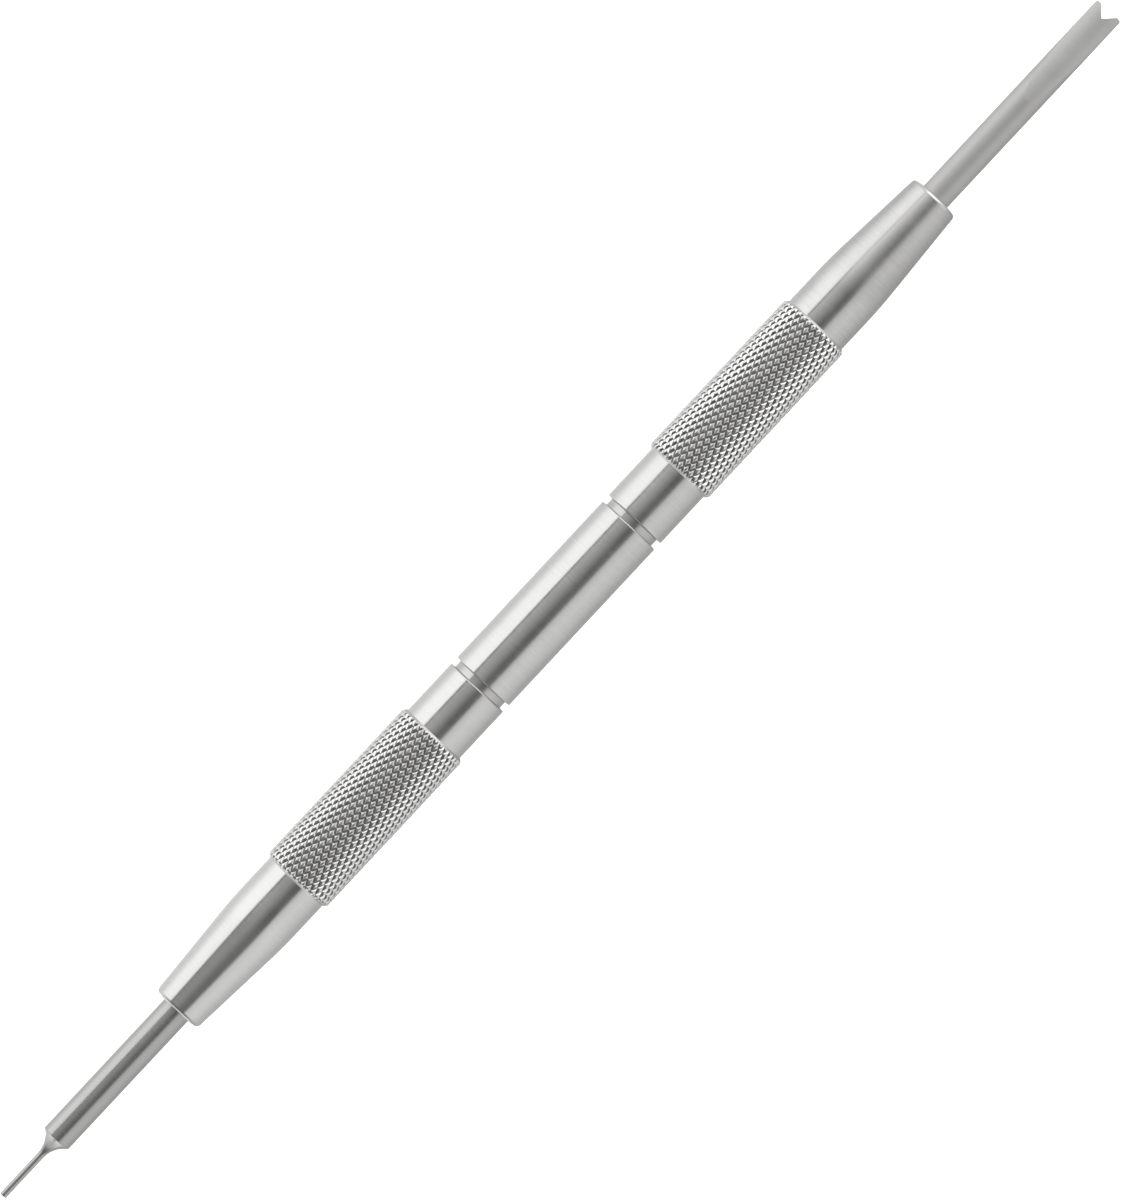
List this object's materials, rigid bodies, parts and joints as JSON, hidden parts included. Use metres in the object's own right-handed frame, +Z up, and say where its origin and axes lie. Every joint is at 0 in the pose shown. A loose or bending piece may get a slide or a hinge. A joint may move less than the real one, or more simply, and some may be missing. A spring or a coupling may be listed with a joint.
{
  "type": "spring bar tool",
  "caption": "Slim double-ended steel hand tool for watch strap spring bars: knurled grips on a plain barrel, with a screw-in forked blade at one end and a fine push pin at the other.",
  "frame": {"origin": "on the surface that the tool lies on, below the middle of its length", "axes": "+X along the tool towards the fork, +Z up out of the fork's broad face, +Y across the tool"},
  "size_m": [0.145, 0.0072, 0.0071],
  "materials": {
    "handle_steel": "fine turned stainless steel, satin",
    "stud_steel": "turned stainless steel",
    "fork_steel": "bead-blasted tool steel with ground faces, matte",
    "pin_steel": "ground tool steel, satin"
  },
  "bodies": {
    "barrel": {"centre_barrel": "handle_steel", "fork_coupling_stud": "stud_steel", "pin_coupling_stud": "stud_steel"},
    "fork_grip": {"fork_grip": "handle_steel"},
    "pin_grip": {"pin_grip": "handle_steel"},
    "fork_tip": {"fork_tip": "fork_steel"},
    "pin_tip": {"pin_tip": "pin_steel"}
  },
  "joints": [
    {"name": "fork_grip_unscrew", "type": "slide", "parent": "barrel", "child": "fork_grip", "axis": [1, 0, 0], "range_m": [0, 0.008]},
    {"name": "pin_grip_unscrew", "type": "slide", "parent": "barrel", "child": "pin_grip", "axis": [-1, 0, 0], "range_m": [0, 0.008]},
    {"name": "fork_tip_unscrew", "type": "slide", "parent": "fork_grip", "child": "fork_tip", "axis": [1, 0, 0], "range_m": [0, 0.014]},
    {"name": "pin_tip_unscrew", "type": "slide", "parent": "pin_grip", "child": "pin_tip", "axis": [-1, 0, 0], "range_m": [0, 0.014]}
  ]
}
